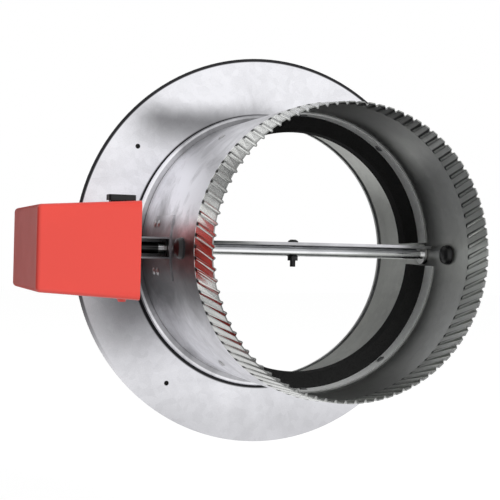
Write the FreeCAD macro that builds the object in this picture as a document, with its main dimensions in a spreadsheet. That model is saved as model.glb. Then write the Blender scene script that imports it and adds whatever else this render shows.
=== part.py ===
import FreeCAD
import Part
import Sketcher
import math
import os

# Motorized zone damper: an 8 inch round take-off pipe with a wide mounting flange,
# a butterfly blade on a cross shaft and an actuator box on the left side.
# X points right as seen from the front, Y points back into the plenum, Z points up.
# The origin is the centre of the flange's back face. "Forward" sizes count towards -Y.

doc = FreeCAD.newDocument("ZoneDamper")
sheet = doc.addObject("Spreadsheet::Sheet", "Dimensions")
made_nodes = []
row_of_alias = {}


class Size:
    """A length with its value and the spreadsheet expression that gives it."""

    def __init__(self, value, text):
        self.value = float(value)
        self.text = text

    @staticmethod
    def of(other):
        if isinstance(other, Size):
            return other
        return Size(other, repr(float(other)))

    def __add__(self, other):
        other = Size.of(other)
        return Size(self.value + other.value, "(%s + %s)" % (self.text, other.text))

    __radd__ = __add__

    def __neg__(self):
        return Size(-self.value, "(0 - %s)" % self.text)

    def __sub__(self, other):
        other = Size.of(other)
        return Size(self.value - other.value, "(%s - %s)" % (self.text, other.text))

    def __rsub__(self, other):
        return Size.of(other) - self

    def __mul__(self, other):
        other = Size.of(other)
        return Size(self.value * other.value, "(%s * %s)" % (self.text, other.text))

    __rmul__ = __mul__

    def __truediv__(self, other):
        other = Size.of(other)
        return Size(self.value / other.value, "(%s / %s)" % (self.text, other.text))


def cell(alias, value):
    """Write one driving dimension into the sheet and return it as a Size."""
    row = len(row_of_alias) + 1
    row_of_alias[alias] = row
    sheet.set("A%d" % row, alias)
    sheet.set("B%d" % row, str(value))
    sheet.setAlias("B%d" % row, alias)
    return Size(value, "Dimensions.%s" % alias)


# Pipe and its crimped end
pipe_radius = cell("pipe_radius", 101.6)
pipe_wall = cell("pipe_wall", 0.8)
front_land = cell("front_land", 28.5)
crimp_length = cell("crimp_length", 30.0)
crimp_count = cell("crimp_count", 86)
crimp_step = cell("crimp_step", 0.16)
crimp_start_depth = cell("crimp_start_depth", 0.35)
crimp_rim_drop = cell("crimp_rim_drop", 2.8)
crimp_rim_depth = cell("crimp_rim_depth", 1.5)
crimp_turn = cell("crimp_turn", 4.2)
crimp_ridge_share = cell("crimp_ridge_share", 0.58)
crimp_groove_share = cell("crimp_groove_share", 0.14)
bead_height = cell("bead_height", 5.8)
bead_width = cell("bead_width", 5.0)
lip_height = cell("lip_height", 4.0)
bend_corner = cell("bend_corner", 0.29)

# Mounting flange
flange_width = cell("flange_width", 50.8)
flange_thickness = cell("flange_thickness", 1.0)
joggle_clearance = cell("joggle_clearance", 0.8)
joggle_lead = cell("joggle_lead", 0.4)
flange_hole_radius = cell("flange_hole_radius", 1.9)
flange_hole_edge = cell("flange_hole_edge", 22.1)
flange_hole_angle = cell("flange_hole_angle", 53.5)
flange_hole_count = cell("flange_hole_count", 4)
seat_clearance = cell("seat_clearance", 0.05)

# Blade and shaft
shaft_forward = cell("shaft_forward", 79.2)
shaft_radius = cell("shaft_radius", 3.97)
shaft_clearance = cell("shaft_clearance", 0.05)
blade_clearance = cell("blade_clearance", 6.3)
blade_thickness = cell("blade_thickness", 1.8)
blade_gap = cell("blade_gap", 0.3)
bolt_side_shift = cell("bolt_side_shift", 6.0)
bolt_radius = cell("bolt_radius", 2.0)
bolt_head_radius = cell("bolt_head_radius", 4.0)
bolt_head_height = cell("bolt_head_height", 2.6)
bolt_tail = cell("bolt_tail", 7.5)
nut_width = cell("nut_width", 7.0)
nut_height = cell("nut_height", 3.0)

# Seals and the bands that hold them
gasket_overlap = cell("gasket_overlap", 6.1)
gasket_width = cell("gasket_width", 9.9)
gasket_angle = cell("gasket_angle", 170.0)
band_thickness = cell("band_thickness", 1.0)
band_width = cell("band_width", 11.0)
band_angle = cell("band_angle", 170.0)
band_rivet_radius = cell("band_rivet_radius", 1.6)
band_rivet_head = cell("band_rivet_head", 3.0)
band_rivet_rise = cell("band_rivet_rise", 0.9)
rivet_head_lift = cell("rivet_head_lift", 0.12)
rivet_head_taper = cell("rivet_head_taper", 0.6)

# Bushings and hole plugs
bushing_neck_radius = cell("bushing_neck_radius", 5.9)
bushing_collar_radius = cell("bushing_collar_radius", 7.4)
bushing_collar_thickness = cell("bushing_collar_thickness", 1.8)
collar_lift = cell("collar_lift", 0.4)
ring_thickness = cell("ring_thickness", 1.0)
ring_radius = cell("ring_radius", 6.4)
ring_groove_depth = cell("ring_groove_depth", 0.7)
ring_opening = cell("ring_opening", 4.4)
shaft_overhang = cell("shaft_overhang", 1.6)
shaft_chamfer = cell("shaft_chamfer", 0.6)
plug_pitch = cell("plug_pitch", 38.3)
plug_radius = cell("plug_radius", 7.3)
plug_height = cell("plug_height", 5.6)
plug_neck_radius = cell("plug_neck_radius", 4.6)
plug_brim_thickness = cell("plug_brim_thickness", 1.2)
plug_brim_lift = cell("plug_brim_lift", 0.3)
plug_tail = cell("plug_tail", 1.6)
plug_tail_taper = cell("plug_tail_taper", 0.6)

# Actuator bracket
standoff = cell("standoff", 35.4)
bracket_height = cell("bracket_height", 15.0)
bracket_depth = cell("bracket_depth", 22.0)
bracket_sheet = cell("bracket_sheet", 1.2)
saddle_angle = cell("saddle_angle", 26.0)
bracket_tail = cell("bracket_tail", 28.0)
bracket_rivet_angle = cell("bracket_rivet_angle", 9.6)
bracket_rivet_pitch = cell("bracket_rivet_pitch", 10.0)
cutter_reach = cell("cutter_reach", 5.0)

# Actuator box
cover_rim_height = cell("cover_rim_height", 64.0)
cover_rim_depth = cell("cover_rim_depth", 110.0)
cover_end_height = cell("cover_end_height", 55.0)
cover_end_depth = cell("cover_end_depth", 106.0)
cover_length = cell("cover_length", 66.0)
cover_wall = cell("cover_wall", 2.2)
cover_edge = cell("cover_edge", 3.0)
cover_forward = cell("cover_forward", 89.0)
cover_drop = cell("cover_drop", 2.0)
plate_thickness = cell("plate_thickness", 1.5)
plate_inset = cell("plate_inset", 1.0)
plate_corner = cell("plate_corner", 2.5)
plate_fit = cell("plate_fit", 0.3)
plate_tab_length = cell("plate_tab_length", 9.0)
plate_tab_width = cell("plate_tab_width", 14.0)
cover_screw_radius = cell("cover_screw_radius", 1.7)
cover_screw_head = cell("cover_screw_head", 3.4)
cover_screw_rise = cell("cover_screw_rise", 2.0)
cover_screw_spread = cell("cover_screw_spread", 34.0)

# Drive train inside the actuator box
cam_thickness = cell("cam_thickness", 4.0)
cam_radius = cell("cam_radius", 10.0)
cam_low_radius = cell("cam_low_radius", 8.0)
coupling_radius = cell("coupling_radius", 7.5)
coupling_length = cell("coupling_length", 13.0)
coupling_bore_depth = cell("coupling_bore_depth", 10.0)
output_radius = cell("output_radius", 3.0)
set_screw_radius = cell("set_screw_radius", 1.5)
gearbox_width = cell("gearbox_width", 46.0)
gearbox_height = cell("gearbox_height", 34.0)
gearbox_length = cell("gearbox_length", 16.0)
gearbox_corner = cell("gearbox_corner", 5.0)
motor_radius = cell("motor_radius", 15.0)
motor_length = cell("motor_length", 15.0)
motor_edge = cell("motor_edge", 1.5)
motor_boss_radius = cell("motor_boss_radius", 4.5)
motor_boss_rise = cell("motor_boss_rise", 1.2)
post_radius = cell("post_radius", 2.6)
post_inset = cell("post_inset", 5.0)
switch_length = cell("switch_length", 20.0)
switch_height = cell("switch_height", 7.0)
switch_width = cell("switch_width", 8.0)
switch_gap = cell("switch_gap", 0.6)
switch_shift = cell("switch_shift", 4.0)
switch_corner = cell("switch_corner", 0.8)
button_rise = cell("button_rise", 1.2)
button_width = cell("button_width", 4.0)
button_inset = cell("button_inset", 1.0)
terminal_length = cell("terminal_length", 9.0)
terminal_width = cell("terminal_width", 22.0)
terminal_height = cell("terminal_height", 10.0)
terminal_slot = cell("terminal_slot", 2.4)
entry_length = cell("entry_length", 18.0)
entry_width = cell("entry_width", 12.0)
entry_rise = cell("entry_rise", 3.6)
entry_neck = cell("entry_neck", 1.5)
entry_inset = cell("entry_inset", 2.0)
entry_setback = cell("entry_setback", 12.0)
entry_corner = cell("entry_corner", 3.0)
entry_reach = cell("entry_reach", 2.0)
entry_fit = cell("entry_fit", 0.1)
entry_pitch = cell("entry_pitch", 7.2)
entry_bore = cell("entry_bore", 2.4)
end_gap = cell("end_gap", 0.3)
doc.recompute()

# Places that follow from the driving dimensions
pipe_inner = pipe_radius - pipe_wall
flange_radius = pipe_radius + flange_width
flange_hole_circle = flange_radius - flange_hole_edge
plug_forward = shaft_forward + plug_pitch
pipe_length = plug_forward + front_land + crimp_length
blade_radius = pipe_inner - blade_clearance
wall_hole_radius = bushing_neck_radius + seat_clearance
plug_hole_radius = plug_neck_radius + seat_clearance
blade_bottom = shaft_radius
blade_top = shaft_radius + blade_thickness
closed_back = shaft_forward - blade_top
closed_front = shaft_forward - blade_bottom
gasket_inner = blade_radius - gasket_overlap
upper_gasket_front = closed_back - blade_gap
lower_gasket_back = closed_front + blade_gap
plate_face = pipe_radius + standoff
cover_rim_x = plate_face - plate_inset
entry_forward = cover_forward + cover_rim_depth / 2 - entry_setback
coupling_start = plate_face + plate_thickness + cam_thickness + 3 * end_gap
gearbox_start = coupling_start + coupling_length + end_gap


def bind(thing, name, size):
    """Bind a property of a document object to a spreadsheet expression."""
    thing.setExpression(name, Size.of(size).text)


def place(thing, x=None, y=None, z=None):
    """Bind the position of an object; each coordinate is a Size or left out."""
    for axis, size in (("x", x), ("y", y), ("z", z)):
        if size is not None:
            bind(thing, "Placement.Base.%s" % axis, size)


def new_body(name):
    body = doc.addObject("PartDesign::Body", name)
    body.Label = name
    made_nodes.append(body)
    return body


def origin_item(body, role):
    for item in body.Origin.OriginFeatures:
        if item.Role == role:
            return item
    raise RuntimeError("no origin item " + role)


def new_sketch(body, name, role, offset=None):
    """A sketch on one of the body's origin planes, moved along the plane's normal."""
    sketch = body.newObject("Sketcher::SketchObject", name)
    sketch.AttachmentSupport = [(origin_item(body, role), "")]
    sketch.MapMode = "FlatFace"
    if offset is not None:
        bind(sketch, "AttachmentOffset.Base.z", offset)
    return sketch


def pin_coordinate(sketch, kind, geometry, position, size):
    """Hold one coordinate of a sketch point at a signed distance from the origin."""
    size = Size.of(size)
    if abs(size.value) < 1e-9:
        axis = -2 if kind == "DistanceX" else -1
        sketch.addConstraint(Sketcher.Constraint("PointOnObject", geometry, position, axis))
        return
    if size.value > 0:
        rule = Sketcher.Constraint(kind, -1, 1, geometry, position, size.value)
    else:
        rule = Sketcher.Constraint(kind, geometry, position, -1, 1, -size.value)
        size = -size
    index = sketch.addConstraint(rule)
    sketch.setExpression("Constraints[%d]" % index, size.text)


def pin_point(sketch, geometry, position, x, y):
    pin_coordinate(sketch, "DistanceX", geometry, position, x)
    pin_coordinate(sketch, "DistanceY", geometry, position, y)


def point_of(pair):
    return FreeCAD.Vector(Size.of(pair[0]).value, Size.of(pair[1]).value, 0)


def outline(sketch, points):
    """A closed outline of straight lines through corner points of Sizes."""
    start = sketch.GeometryCount
    total = len(points)
    for number in range(total):
        here = point_of(points[number])
        after = point_of(points[(number + 1) % total])
        sketch.addGeometry(Part.LineSegment(here, after), False)
    for number in range(total):
        after = start + (number + 1) % total
        sketch.addConstraint(Sketcher.Constraint("Coincident", start + number, 2, after, 1))
    for number in range(total):
        pin_point(sketch, start + number, 1, points[number][0], points[number][1])


def circle(sketch, x, y, radius):
    radius = Size.of(radius)
    shape = Part.Circle(point_of((x, y)), FreeCAD.Vector(0, 0, 1), radius.value)
    geometry = sketch.addGeometry(shape, False)
    index = sketch.addConstraint(Sketcher.Constraint("Radius", geometry, radius.value))
    sketch.setExpression("Constraints[%d]" % index, radius.text)
    if abs(Size.of(x).value) < 1e-9 and abs(Size.of(y).value) < 1e-9:
        sketch.addConstraint(Sketcher.Constraint("Coincident", geometry, 3, -1, 1))
    else:
        pin_point(sketch, geometry, 3, x, y)


def rounded_box(sketch, left, right, low, high, radius):
    """A rectangle with four equal corner arcs; all sizes are Sizes."""
    x0, x1 = Size.of(left).value, Size.of(right).value
    y0, y1 = Size.of(low).value, Size.of(high).value
    r = Size.of(radius).value
    sides = [
        ((x0 + r, y0), (x1 - r, y0)),
        ((x1, y0 + r), (x1, y1 - r)),
        ((x1 - r, y1), (x0 + r, y1)),
        ((x0, y1 - r), (x0, y0 + r)),
    ]
    corners = [
        ((x1 - r, y0 + r), 270),
        ((x1 - r, y1 - r), 0),
        ((x0 + r, y1 - r), 90),
        ((x0 + r, y0 + r), 180),
    ]
    first = sketch.GeometryCount
    for start, end in sides:
        line = Part.LineSegment(FreeCAD.Vector(*start, 0), FreeCAD.Vector(*end, 0))
        sketch.addGeometry(line, False)
    for centre, angle in corners:
        ring = Part.Circle(FreeCAD.Vector(*centre, 0), FreeCAD.Vector(0, 0, 1), r)
        low_angle = math.radians(angle)
        high_angle = math.radians(angle + 90)
        sketch.addGeometry(Part.ArcOfCircle(ring, low_angle, high_angle), False)
    for side in range(4):
        kind = "Horizontal" if side % 2 == 0 else "Vertical"
        sketch.addConstraint(Sketcher.Constraint(kind, first + side))
        arc = first + 4 + side
        following = first + (side + 1) % 4
        sketch.addConstraint(Sketcher.Constraint("Tangent", first + side, 2, arc, 1))
        sketch.addConstraint(Sketcher.Constraint("Tangent", arc, 2, following, 1))
    for arc in range(1, 4):
        sketch.addConstraint(Sketcher.Constraint("Equal", first + 4, first + 4 + arc))
    index = sketch.addConstraint(Sketcher.Constraint("Radius", first + 4, r))
    sketch.setExpression("Constraints[%d]" % index, Size.of(radius).text)
    pin_coordinate(sketch, "DistanceY", first, 1, low)
    pin_coordinate(sketch, "DistanceX", first + 1, 1, right)
    pin_coordinate(sketch, "DistanceY", first + 2, 1, high)
    pin_coordinate(sketch, "DistanceX", first + 3, 1, left)


def pad(body, sketch, name, length, reverse=False, midplane=False):
    feature = body.newObject("PartDesign::Pad", name)
    feature.Profile = sketch
    feature.Reversed = reverse
    feature.Midplane = midplane
    bind(feature, "Length", length)
    return feature


def pocket(body, sketch, name, length=None, reverse=False, midplane=False):
    """A cut of a given length, or through everything when no length is given."""
    feature = body.newObject("PartDesign::Pocket", name)
    feature.Profile = sketch
    feature.Reversed = reverse
    if length is None:
        feature.Type = "ThroughAll"
    else:
        bind(feature, "Length", length)
    feature.Midplane = midplane
    return feature


def revolve(body, sketch, name, axis, angle=360, midplane=False, cut=False):
    kind = "PartDesign::Groove" if cut else "PartDesign::Revolution"
    feature = body.newObject(kind, name)
    feature.Profile = sketch
    feature.ReferenceAxis = (sketch, [axis])
    feature.Midplane = midplane
    bind(feature, "Angle", angle)
    return feature


def turned(name, profile, x=None, y=None, z=None, flip=False):
    """A piece turned about its own X axis, from (along, radius) corner points."""
    body = new_body(name)
    sketch = new_sketch(body, name + "_profile", "XY_Plane")
    outline(sketch, profile)
    revolve(body, sketch, name + "_turn", "H_Axis")
    if flip:
        body.Placement = FreeCAD.Placement(
            FreeCAD.Vector(0, 0, 0), FreeCAD.Rotation(FreeCAD.Vector(0, 0, 1), 180))
    place(body, x, y, z)
    return body


def code_feature(name, shape, node=True):
    feature = doc.addObject("Part::Feature", name)
    feature.Label = name
    feature.Shape = shape
    if node:
        made_nodes.append(feature)
    return feature


# Duct pipe


def crimp_ring(forward, ridge, groove, turn):
    """Points round one ring of the crimped end: flat ridges with narrow grooves between."""
    pitch = 360.0 / crimp_count.value
    ridge_part = crimp_ridge_share.value * pitch
    groove_part = crimp_groove_share.value * pitch
    flank_part = (pitch - ridge_part - groove_part) / 2
    points = []
    for number in range(int(crimp_count.value)):
        base = number * pitch + turn
        steps = (
            (base, ridge),
            (base + ridge_part, ridge),
            (base + ridge_part + flank_part, groove),
            (base + ridge_part + flank_part + groove_part, groove),
        )
        for degrees, radius in steps:
            angle = math.radians(degrees)
            points.append(FreeCAD.Vector(radius * math.cos(angle), -forward, radius * math.sin(angle)))
    return points


def flat_face(points):
    return Part.Face(Part.makePolygon(list(points) + [points[0]]))


def crimp_rings(inset):
    """The back and front ring of the crimped end's outer skin, or its inner skin when inset."""
    start = pipe_length.value - crimp_length.value
    start_ridge = pipe_radius.value - crimp_step.value - inset
    rim_ridge = pipe_radius.value - crimp_rim_drop.value - inset
    start_groove = start_ridge - crimp_start_depth.value
    rim_groove = rim_ridge - crimp_rim_depth.value
    back = crimp_ring(start, start_ridge, start_groove, 0)
    front = crimp_ring(pipe_length.value, rim_ridge, rim_groove, crimp_turn.value)
    return back, front


def crimp_skin(back, front):
    """The slanted flats between two rings, each one folded once along its diagonal."""
    faces = []
    total = len(back)
    for number in range(total):
        after = (number + 1) % total
        faces.append(flat_face([back[number], back[after], front[after]]))
        faces.append(flat_face([back[number], front[after], front[number]]))
    return faces


def crimped_end():
    """The crimped end as one closed wall: two folded skins joined by two ring faces."""
    outer_back, outer_front = crimp_rings(0)
    inner_back, inner_front = crimp_rings(pipe_wall.value)
    faces = crimp_skin(outer_back, outer_front) + crimp_skin(inner_back, inner_front)
    faces.append(flat_face(outer_back).cut(flat_face(inner_back)).Faces[0])
    faces.append(flat_face(outer_front).cut(flat_face(inner_front)).Faces[0])
    shell = Part.makeShell(faces)
    shell.sewShape()
    solid = Part.makeSolid(shell)
    if solid.Volume < 0:
        solid.reverse()
    return code_feature("crimped_end", solid, node=False)


def straight_pipe():
    """The plain pipe with its clamping bead and the lip turned out behind the flange."""
    body = doc.addObject("PartDesign::Body", "straight_pipe")
    sketch = new_sketch(body, "pipe_section", "XY_Plane")
    front = -(pipe_length - crimp_length)
    bead_back = -(flange_thickness + pipe_wall)
    bead_front = bead_back - bead_width
    bead_round = bead_width / 2
    crest = pipe_radius + bead_height
    shoulder = crest - bead_round
    cut_corner = bead_round * bend_corner
    outer_side = [
        (pipe_radius, front),
        (pipe_radius, bead_front),
        (shoulder, bead_front),
        (crest - cut_corner, bead_front + cut_corner),
        (crest, bead_front + bead_round),
        (crest - cut_corner, bead_back - cut_corner),
        (shoulder, bead_back),
        (pipe_radius, bead_back),
        (pipe_radius, -pipe_wall),
        (pipe_radius + lip_height, -pipe_wall),
    ]
    inner_side = [
        (pipe_radius + lip_height, Size.of(0)),
        (pipe_inner, Size.of(0)),
        (pipe_inner, bead_back - pipe_wall),
        (shoulder, bead_back - pipe_wall),
        (crest - pipe_wall - cut_corner, bead_back - pipe_wall - cut_corner),
        (crest - pipe_wall, bead_front + bead_round),
        (crest - pipe_wall - cut_corner, bead_front + pipe_wall + cut_corner),
        (shoulder, bead_front + pipe_wall),
        (pipe_inner, bead_front + pipe_wall),
        (pipe_inner, front),
    ]
    outline(sketch, outer_side + inner_side)
    revolve(body, sketch, "pipe_turn", "V_Axis")
    return body


def wall_drill(name, radius, forward, side):
    """A drill along X that opens one wall of the pipe: side is 1 right, -1 left."""
    tool = doc.addObject("Part::Cylinder", name)
    bind(tool, "Radius", radius)
    bind(tool, "Height", pipe_radius)
    turn = FreeCAD.Rotation(FreeCAD.Vector(0, 1, 0), 90 * side)
    tool.Placement = FreeCAD.Placement(FreeCAD.Vector(0, 0, 0), turn)
    place(tool, x=side * pipe_radius / 2, y=-forward)
    return tool


def rivet_angles():
    """Places of the band rivets about the pipe's axis, as angles from +X, with forward place."""
    upper = closed_back + band_width / 2
    lower = lower_band_back() + band_width / 2
    return [(52, upper), (90, upper), (128, upper), (232, lower), (270, lower), (308, lower)]


def radial_pose(degrees, radius, forward):
    """A placement whose local Z points outwards from the pipe's axis."""
    angle = math.radians(degrees)
    direction = FreeCAD.Vector(math.cos(angle), 0, math.sin(angle))
    turn = FreeCAD.Rotation(FreeCAD.Vector(0, 0, 1), direction)
    base = FreeCAD.Vector(radius * direction.x, -forward, radius * direction.z)
    return FreeCAD.Placement(base, turn)


def rivet_drills(name, radius, places):
    """Drills for rivets, outwards through band and wall, as one tool."""
    reach = 4 * (band_thickness.value + pipe_wall.value)
    drills = []
    for degrees, forward in places:
        drill = Part.makeCylinder(radius, reach)
        drill.Placement = radial_pose(degrees, pipe_inner.value - reach / 2, forward.value)
        drills.append(drill)
    return code_feature(name, Part.makeCompound(drills), node=False)


def bracket_rivet_places():
    """Four rivets through the saddle's tail and the wall, clear of the seals inside."""
    tail_end = shaft_forward - bracket_depth / 2 - bracket_tail
    first = tail_end + 2 * band_rivet_head
    places = []
    for degrees in (180 - bracket_rivet_angle.value, 180 + bracket_rivet_angle.value):
        for forward in (first, first + bracket_rivet_pitch):
            places.append((degrees, forward))
    return places


def duct_pipe():
    tube = doc.addObject("Part::Fuse", "pipe_with_crimp")
    tube.Base = straight_pipe()
    tube.Tool = crimped_end()
    tools = doc.addObject("Part::MultiFuse", "pipe_drills")
    hole = band_rivet_radius.value + seat_clearance.value
    places = rivet_angles() + bracket_rivet_places()
    tools.Shapes = [
        wall_drill("left_shaft_drill", wall_hole_radius, shaft_forward, -1),
        wall_drill("right_shaft_drill", wall_hole_radius, shaft_forward, 1),
        wall_drill("left_plug_drill", plug_hole_radius, plug_forward, -1),
        wall_drill("right_plug_drill", plug_hole_radius, plug_forward, 1),
        rivet_drills("pipe_rivet_drills", hole, places),
    ]
    pipe = doc.addObject("Part::Cut", "duct_pipe")
    pipe.Label = "duct_pipe"
    pipe.Base = tube
    pipe.Tool = tools
    made_nodes.append(pipe)


# Mounting flange


def mounting_flange():
    """The flat flange, joggled at its hole so that the pipe's lip lies flush in its back face."""
    body = new_body("mounting_flange")
    ring = new_sketch(body, "flange_section", "XY_Plane")
    bore = pipe_radius + seat_clearance
    step_back = pipe_radius + lip_height + joggle_clearance
    step_front = step_back + joggle_lead
    outline(ring, [
        (bore, -pipe_wall - flange_thickness),
        (step_front, -pipe_wall - flange_thickness),
        (step_front + pipe_wall, -flange_thickness),
        (flange_radius, -flange_thickness),
        (flange_radius, Size.of(0)),
        (step_back + pipe_wall, Size.of(0)),
        (step_back, -pipe_wall),
        (bore, -pipe_wall),
    ])
    revolve(body, ring, "flange_turn", "V_Axis")
    holes = new_sketch(body, "flange_hole", "XZ_Plane")
    angle = math.radians(flange_hole_angle.value)
    across = Size(flange_hole_circle.value * math.cos(angle),
                  "(%s * cos(%s * 1deg))" % (flange_hole_circle.text, flange_hole_angle.text))
    up = Size(flange_hole_circle.value * math.sin(angle),
              "(%s * sin(%s * 1deg))" % (flange_hole_circle.text, flange_hole_angle.text))
    circle(holes, across, up, flange_hole_radius)
    cut = pocket(body, holes, "flange_drill", reverse=True)
    doc.recompute()
    pattern = body.newObject("PartDesign::PolarPattern", "flange_holes")
    pattern.Originals = [cut]
    pattern.Axis = (origin_item(body, "Y_Axis"), [""])
    pattern.Angle = 360
    bind(pattern, "Occurrences", flange_hole_count)
    body.Tip = pattern


# Gaskets and bands


def lower_band_back():
    return lower_gasket_back + gasket_width


def half_ring(name, inner, outer, back, width, angle, side):
    """A part ring about the pipe's axis: side 1 is the upper one, -1 the lower one."""
    body = new_body(name)
    sketch = new_sketch(body, name + "_section", "YZ_Plane")
    front = back + width
    outline(sketch, [
        (-front, side * inner),
        (-back, side * inner),
        (-back, side * outer),
        (-front, side * outer),
    ])
    revolve(body, sketch, name + "_sweep", "H_Axis", angle, midplane=True)
    return body


def riveted_band(name, back, side, places):
    """A band bent to the wall, with rivet holes; the exported piece is the drilled one."""
    ring = half_ring(name + "_blank", pipe_inner - band_thickness, pipe_inner - seat_clearance,
                     back, band_width, band_angle, side)
    made_nodes.remove(ring)
    hole = band_rivet_radius.value + seat_clearance.value
    band = doc.addObject("Part::Cut", name)
    band.Label = name
    band.Base = ring
    band.Tool = rivet_drills(name + "_drills", hole, places)
    made_nodes.append(band)


def gaskets_and_bands():
    half_ring("upper_gasket", gasket_inner, pipe_inner, upper_gasket_front - gasket_width,
              gasket_width, gasket_angle, 1)
    half_ring("lower_gasket", gasket_inner, pipe_inner, lower_gasket_back,
              gasket_width, gasket_angle, -1)
    places = rivet_angles()
    riveted_band("upper_retaining_band", closed_back, 1, places[:3])
    riveted_band("lower_retaining_band", lower_band_back(), -1, places[3:])


def rivet(inner_stack, outer_stack):
    """One blind rivet along Z: its dome is outside, its set head inside, Z = 0 at the pipe's inner face."""
    radius = band_rivet_radius.value
    head = band_rivet_head.value
    rise = band_rivet_rise.value
    lift = rivet_head_lift.value
    crown = head * rivet_head_taper.value
    bottom = -inner_stack - lift
    top = pipe_wall.value + outer_stack + lift
    shank = Part.makeCylinder(radius, top - bottom, FreeCAD.Vector(0, 0, bottom))
    inside = Part.makeCone(crown, head, rise, FreeCAD.Vector(0, 0, bottom - rise))
    outside = Part.makeCone(head, crown, rise, FreeCAD.Vector(0, 0, top))
    return shank.fuse([inside, outside]).removeSplitter()


def rivet_group(name, places, inner_stack, outer_stack):
    copies = []
    for degrees, forward in places:
        copy = rivet(inner_stack, outer_stack)
        copy.Placement = radial_pose(degrees, pipe_inner.value, forward.value)
        copies.append(copy)
    code_feature(name, Part.makeCompound(copies))


# Bushings, plugs and shaft


def bushing(name, side):
    """A flanged bushing in the pipe's wall; its collars clear the curve of the wall."""
    inside_wall = pipe_inner - collar_lift
    bore = shaft_radius + shaft_clearance
    inner_end = inside_wall - bushing_collar_thickness
    outer_end = pipe_radius + bushing_collar_thickness
    turned(name, [
        (inner_end, bore),
        (outer_end, bore),
        (outer_end, bushing_collar_radius),
        (pipe_radius, bushing_collar_radius),
        (pipe_radius, bushing_neck_radius),
        (inside_wall, bushing_neck_radius),
        (inside_wall, bushing_collar_radius),
        (inner_end, bushing_collar_radius),
    ], y=-shaft_forward, flip=side < 0)


def hole_plug(name, side, inside):
    """A domed snap plug: its dome is inside or outside, its neck goes through the wall."""
    body = new_body(name)
    sketch = new_sketch(body, name + "_profile", "XY_Plane")
    neck_near = pipe_inner - plug_brim_lift if inside else pipe_radius
    way = -1 if inside else 1
    brim_top = neck_near + way * plug_brim_thickness
    crown = neck_near + way * plug_height
    tail = pipe_radius + plug_tail if inside else pipe_inner - plug_tail
    outline(sketch, [
        (tail, Size.of(0)),
        (tail, plug_neck_radius - plug_tail_taper),
        (neck_near, plug_neck_radius),
        (neck_near, plug_radius),
        (brim_top, plug_radius),
        (crown - way * plug_height * 0.36, plug_radius * 0.86),
        (crown - way * plug_height * 0.1, plug_radius * 0.52),
        (crown, plug_radius * 0.2),
        (crown, Size.of(0)),
    ])
    revolve(body, sketch, name + "_turn", "H_Axis")
    if side < 0:
        body.Placement = FreeCAD.Placement(
            FreeCAD.Vector(0, 0, 0), FreeCAD.Rotation(FreeCAD.Vector(0, 0, 1), 180))
    place(body, y=-plug_forward)


def damper_shaft():
    """The cross shaft, grooved for its clip at the far end and drilled for the blade's bolt."""
    body = new_body("damper_shaft")
    sketch = new_sketch(body, "shaft_profile", "XY_Plane")
    far_face = pipe_radius + bushing_collar_thickness + end_gap
    groove_end = far_face + ring_thickness + 2 * seat_clearance
    shaft_end = groove_end + shaft_overhang
    drive_end = -(coupling_start + coupling_bore_depth)
    groove_radius = shaft_radius - ring_groove_depth
    outline(sketch, [
        (drive_end, Size.of(0)),
        (drive_end, shaft_radius),
        (far_face, shaft_radius),
        (far_face, groove_radius),
        (groove_end, groove_radius),
        (groove_end, shaft_radius),
        (shaft_end - shaft_chamfer, shaft_radius),
        (shaft_end, shaft_radius - shaft_chamfer),
        (shaft_end, Size.of(0)),
    ])
    revolve(body, sketch, "shaft_turn", "H_Axis")
    hole = new_sketch(body, "shaft_cross_hole", "XY_Plane")
    circle(hole, -bolt_side_shift, 0, bolt_radius + seat_clearance)
    pocket(body, hole, "shaft_cross_drill", 4 * shaft_radius, midplane=True)
    place(body, y=-shaft_forward)


def shaft_clip():
    """The snap ring in the groove at the shaft's far end, with its open gap."""
    body = new_body("shaft_clip")
    start = pipe_radius + bushing_collar_thickness + end_gap + seat_clearance
    sketch = new_sketch(body, "clip_ring", "YZ_Plane", start)
    circle(sketch, 0, 0, ring_radius)
    circle(sketch, 0, 0, shaft_radius - ring_groove_depth + seat_clearance)
    pad(body, sketch, "clip_pad", ring_thickness)
    gap = new_sketch(body, "clip_gap", "YZ_Plane", start - ring_thickness)
    half_gap = ring_opening / 2
    outline(gap, [(-half_gap, Size.of(0)), (half_gap, Size.of(0)),
                  (half_gap, -ring_radius * 1.2), (-half_gap, -ring_radius * 1.2)])
    pocket(body, gap, "clip_slot", ring_thickness * 3, reverse=True)
    place(body, y=-shaft_forward)


# Blade and its bolt


def damper_blade():
    body = new_body("damper_blade")
    disc = new_sketch(body, "blade_disc", "XY_Plane", blade_bottom)
    circle(disc, 0, 0, blade_radius)
    pad(body, disc, "blade_pad", blade_thickness)
    hole = new_sketch(body, "blade_hole", "XY_Plane", blade_top)
    circle(hole, -bolt_side_shift, 0, bolt_radius + seat_clearance)
    pocket(body, hole, "blade_drill", 2 * blade_thickness)
    place(body, y=-shaft_forward)


def hex_points(width):
    """The corners of a hexagon of a given width across flats."""
    reach = width / math.sqrt(3)
    points = []
    for number in range(6):
        angle = math.radians(60 * number)
        points.append((reach * math.cos(angle), reach * math.sin(angle)))
    return points


def blade_bolt():
    """The round-head bolt that clamps the blade on the shaft."""
    body = new_body("blade_bolt")
    sketch = new_sketch(body, "bolt_profile", "XZ_Plane")
    outline(sketch, [
        (Size.of(0), -(shaft_radius + bolt_tail)),
        (bolt_radius, -(shaft_radius + bolt_tail)),
        (bolt_radius, blade_top),
        (bolt_head_radius, blade_top),
        (bolt_head_radius * 0.9, blade_top + bolt_head_height * 0.6),
        (bolt_head_radius * 0.5, blade_top + bolt_head_height),
        (Size.of(0), blade_top + bolt_head_height),
    ])
    revolve(body, sketch, "bolt_turn", "V_Axis")
    place(body, x=-bolt_side_shift, y=-shaft_forward)


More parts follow.
